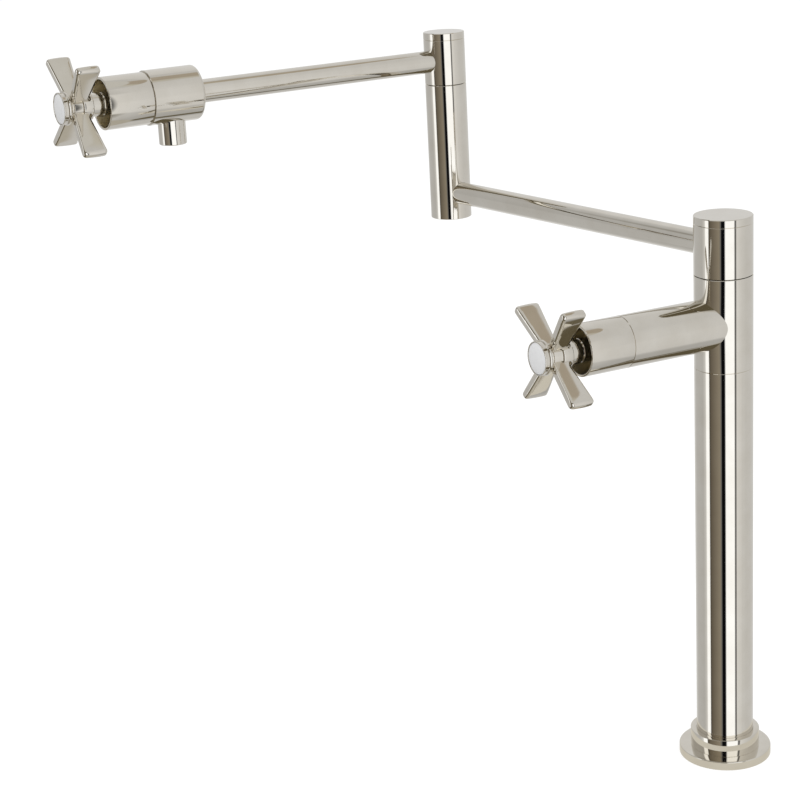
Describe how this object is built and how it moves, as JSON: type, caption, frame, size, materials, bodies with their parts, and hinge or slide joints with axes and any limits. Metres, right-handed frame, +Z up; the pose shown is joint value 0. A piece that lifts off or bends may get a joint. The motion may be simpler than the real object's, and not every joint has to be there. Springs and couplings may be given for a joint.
{
  "type": "pot filler",
  "caption": "Deck-mounted pot filler in polished nickel with a jointed swinging arm, a valve on the column and another at the spout, and cross handles with white indexes.",
  "frame": {"origin": "centre of the base flange's underside, on the deck", "axes": "+Z up along the column, -Y along the column valve towards its handle, +X to the right seen from that handle"},
  "size_m": [0.3318, 0.3724, 0.5609],
  "materials": {
    "polished_nickel": "polished",
    "brass": "turned",
    "stainless_steel": "satin",
    "black_rubber": "matte",
    "white_nylon": "matte",
    "white_ceramic": "lapped",
    "white_porcelain": "glazed"
  },
  "bodies": {
    "column": {"deck_gasket": "black_rubber", "base_flange": "polished_nickel", "base_collar": "polished_nickel", "mounting_shank": "brass", "under_deck_seal": "black_rubber", "clamp_washer": "stainless_steel", "mounting_nut": "brass", "column_tube": "polished_nickel", "riser_tube": "brass", "riser_seals": "black_rubber", "valve_body": "polished_nickel", "column_seat_seal": "black_rubber", "column_fixed_disc": "white_ceramic", "column_cartridge": "brass", "column_cartridge_seal": "black_rubber", "column_sleeve": "polished_nickel", "column_spindle": "brass", "column_spindle_seals": "black_rubber", "column_thrust_washers": "white_nylon", "column_retainer": "stainless_steel", "column_retainer_screw": "stainless_steel"},
    "lower_arm": {"swivel_head": "polished_nickel", "swivel_cap": "polished_nickel", "lower_arm_tube": "polished_nickel", "knuckle_post": "polished_nickel", "knuckle_plug": "brass", "knuckle_spindle": "brass", "knuckle_spindle_seals": "black_rubber", "knuckle_thrust_washers": "white_nylon", "knuckle_retainer": "stainless_steel", "knuckle_retainer_screw": "stainless_steel"},
    "upper_arm": {"elbow_head": "polished_nickel", "elbow_cap": "polished_nickel", "upper_arm_tube": "polished_nickel", "spout_body": "polished_nickel", "spout_seat_seal": "black_rubber", "spout_fixed_disc": "white_ceramic", "spout_cartridge": "brass", "spout_cartridge_seal": "black_rubber", "spout_sleeve": "polished_nickel", "spout_nozzle": "polished_nickel", "aerator_seal": "black_rubber", "aerator_screen": "stainless_steel", "aerator_cage": "white_nylon"},
    "column_handle": {"column_moving_disc": "white_ceramic", "column_stem": "brass", "column_stem_seals": "black_rubber", "column_skirt": "polished_nickel", "column_cross_handle": "polished_nickel", "column_handle_screw": "stainless_steel", "column_bezel": "polished_nickel", "column_index": "white_porcelain"},
    "spout_handle": {"spout_moving_disc": "white_ceramic", "spout_stem": "brass", "spout_stem_seals": "black_rubber", "spout_skirt": "polished_nickel", "spout_cross_handle": "polished_nickel", "spout_handle_screw": "stainless_steel", "spout_bezel": "polished_nickel", "spout_index": "white_porcelain"}
  },
  "joints": [
    {"name": "lower_arm_swivel", "type": "hinge", "parent": "column", "child": "lower_arm", "pos_m": [0, 0, 0.3535], "axis": [0, 0, 1], "continuous": true},
    {"name": "upper_arm_swivel", "type": "hinge", "parent": "lower_arm", "child": "upper_arm", "pos_m": [-0.27868, -0.04314, 0.45045], "axis": [0, 0, 1], "continuous": true},
    {"name": "column_handle_turn", "type": "hinge", "parent": "column", "child": "column_handle", "pos_m": [0, -0.11, 0.3042], "axis": [0, -1, 0], "range_deg": [0, 90]},
    {"name": "spout_handle_turn", "type": "hinge", "parent": "upper_arm", "child": "spout_handle", "pos_m": [-0.27001, -0.27958, 0.45045], "axis": [0.0366, -0.9993, 0], "range_deg": [0, 90]}
  ]
}
